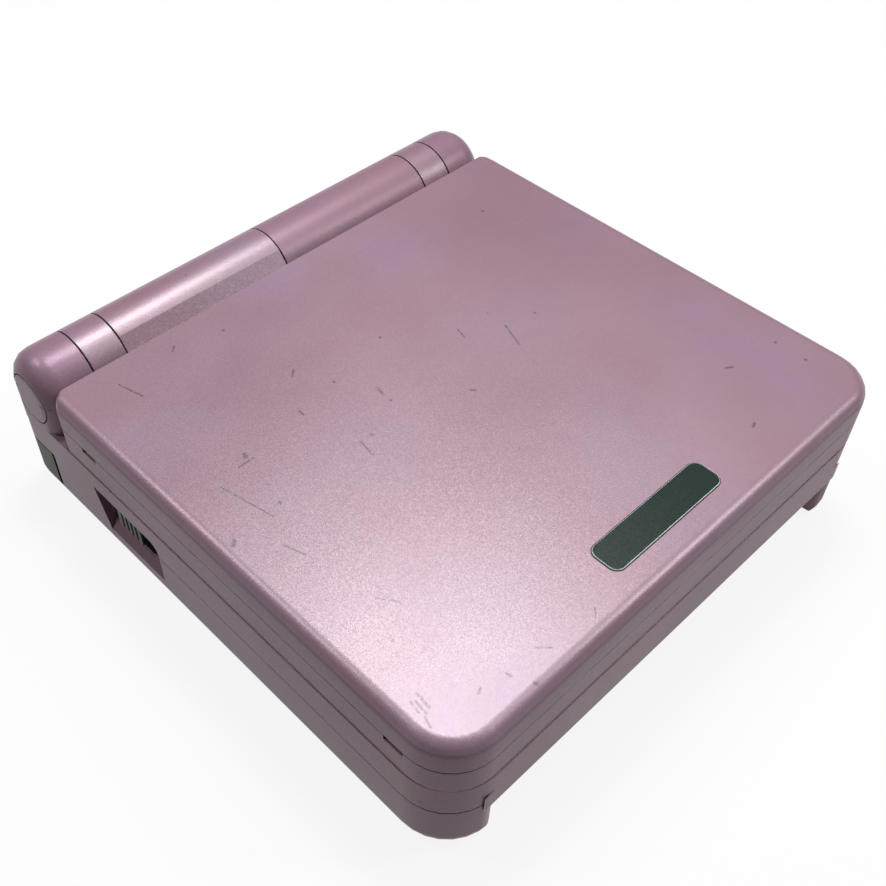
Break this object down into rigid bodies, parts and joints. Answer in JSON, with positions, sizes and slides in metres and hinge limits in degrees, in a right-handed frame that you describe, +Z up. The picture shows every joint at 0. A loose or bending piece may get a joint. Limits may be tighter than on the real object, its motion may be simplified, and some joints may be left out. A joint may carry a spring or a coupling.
{
  "type": "clamshell handheld game console",
  "caption": "Folding handheld game console: square pearl-pink case with a hinged screen lid, direction pad, face and shoulder buttons, side sliders, rear ports and a card slot.",
  "frame": {"origin": "middle of the underside of the closed case", "axes": "+Z up out of the lid, +Y to the back where the hinge is, +X to the right side, seen from above with the hinge away from the viewer"},
  "size_m": [0.082, 0.0846, 0.0243],
  "materials": {
    "pearl_paint": "pearl pink paint on moulded plastic, fine sparkle, lightly scuffed",
    "smoked_plastic": "smoked translucent plastic",
    "green_plate": "dark green plate, bare, with a chamfered edge",
    "grey_plastic": "grey moulded plastic",
    "dark_plastic": "black moulded plastic",
    "silicone": "grey silicone",
    "steel": "plated steel",
    "board": "green solder mask on laminate",
    "battery_wrap": "dark shrink wrap",
    "light_pipe": "clear light pipe",
    "lens_glass": "clear lens with a dark border",
    "panel_glass": "display panel, unlit"
  },
  "bodies": {
    "base": {"action_membrane": "silicone", "base_lower_shell": "pearl_paint", "base_screw_1": "steel", "base_screw_2": "steel", "base_screw_3": "steel", "base_screw_4": "steel", "base_screw_5": "steel", "base_screw_6": "steel", "base_upper_shell": "pearl_paint", "battery_cover": "pearl_paint", "battery_cover_screw": "steel", "battery_pack": "battery_wrap", "card_connector": "dark_plastic", "charge_port": "steel", "direction_pad_membrane": "silicone", "hinge_collar_left": "pearl_paint", "hinge_collar_right": "pearl_paint", "hinge_end_plug_left": "pearl_paint", "hinge_end_plug_right": "pearl_paint", "hinge_pin": "steel", "hinge_spring_cartridge": "steel", "link_port": "steel", "main_board": "board", "menu_membrane": "silicone", "shoulder_pin_left": "steel", "shoulder_pin_right": "steel", "speaker": "dark_plastic", "status_light_1": "light_pipe", "status_light_2": "light_pipe"},
    "lid": {"lid_outer_shell": "pearl_paint", "lid_inner_shell": "pearl_paint", "screen_lens": "lens_glass", "light_guide": "light_pipe", "lcd_panel": "panel_glass", "nameplate": "green_plate", "lid_screw_1": "steel", "lid_screw_2": "steel", "lid_screw_3": "steel", "lid_screw_4": "steel", "screw_cover_1": "silicone", "screw_cover_2": "silicone", "screw_cover_3": "silicone", "screw_cover_4": "silicone"},
    "pad_rocker": {"direction_pad_pivot": "grey_plastic"},
    "pad": {"direction_pad": "grey_plastic"},
    "a_key": {"a_button": "grey_plastic"},
    "b_key": {"b_button": "grey_plastic"},
    "select_key": {"select_button": "grey_plastic"},
    "start_key": {"start_button": "grey_plastic"},
    "light_key": {"light_button": "grey_plastic"},
    "volume_knob": {"volume_slider": "dark_plastic"},
    "power_knob": {"power_switch": "dark_plastic"},
    "shoulder_left": {"shoulder_button_left": "smoked_plastic"},
    "shoulder_right": {"shoulder_button_right": "smoked_plastic"}
  },
  "joints": [
    {"name": "lid_hinge", "type": "hinge", "parent": "base", "child": "lid", "pos_m": [0, 0.0366, 0.0186], "axis": [-1, 0, 0], "range_deg": [0, 160]},
    {"name": "pad_tilt_forward", "type": "hinge", "parent": "base", "child": "pad_rocker", "pos_m": [-0.026, 0.008, 0.01112], "axis": [1, 0, 0], "range_deg": [-3, 3], "stiffness_Nm_per_rad": 0.02},
    {"name": "pad_tilt_sideways", "type": "hinge", "parent": "pad_rocker", "child": "pad", "pos_m": [-0.026, 0.008, 0.01112], "axis": [0, 1, 0], "range_deg": [-3, 3], "stiffness_Nm_per_rad": 0.02},
    {"name": "a_press", "type": "slide", "parent": "base", "child": "a_key", "axis": [0, 0, -1], "range_m": [0, 0.0009], "stiffness_N_per_m": 250, "springref_m": -0.0004},
    {"name": "b_press", "type": "slide", "parent": "base", "child": "b_key", "axis": [0, 0, -1], "range_m": [0, 0.0009], "stiffness_N_per_m": 250, "springref_m": -0.0004},
    {"name": "select_press", "type": "slide", "parent": "base", "child": "select_key", "axis": [0, 0, -1], "range_m": [0, 0.0006], "stiffness_N_per_m": 250, "springref_m": -0.0004},
    {"name": "start_press", "type": "slide", "parent": "base", "child": "start_key", "axis": [0, 0, -1], "range_m": [0, 0.0006], "stiffness_N_per_m": 250, "springref_m": -0.0004},
    {"name": "light_press", "type": "slide", "parent": "base", "child": "light_key", "axis": [0, 0, -1], "range_m": [0, 0.0005], "stiffness_N_per_m": 250, "springref_m": -0.0004},
    {"name": "volume_slide", "type": "slide", "parent": "base", "child": "volume_knob", "axis": [0, 1, 0], "range_m": [-0.0026, 0.0026]},
    {"name": "power_slide", "type": "slide", "parent": "base", "child": "power_knob", "axis": [0, -1, 0], "range_m": [0, 0.002]},
    {"name": "shoulder_left_press", "type": "hinge", "parent": "base", "child": "shoulder_left", "pos_m": [-0.0302, 0.0382, 0.005], "axis": [0, 0, 1], "range_deg": [0, 2.8], "stiffness_Nm_per_rad": 0.05, "springref_deg": -1.72},
    {"name": "shoulder_right_press", "type": "hinge", "parent": "base", "child": "shoulder_right", "pos_m": [0.0302, 0.0382, 0.005], "axis": [0, 0, -1], "range_deg": [0, 2.8], "stiffness_Nm_per_rad": 0.05, "springref_deg": -1.72}
  ]
}
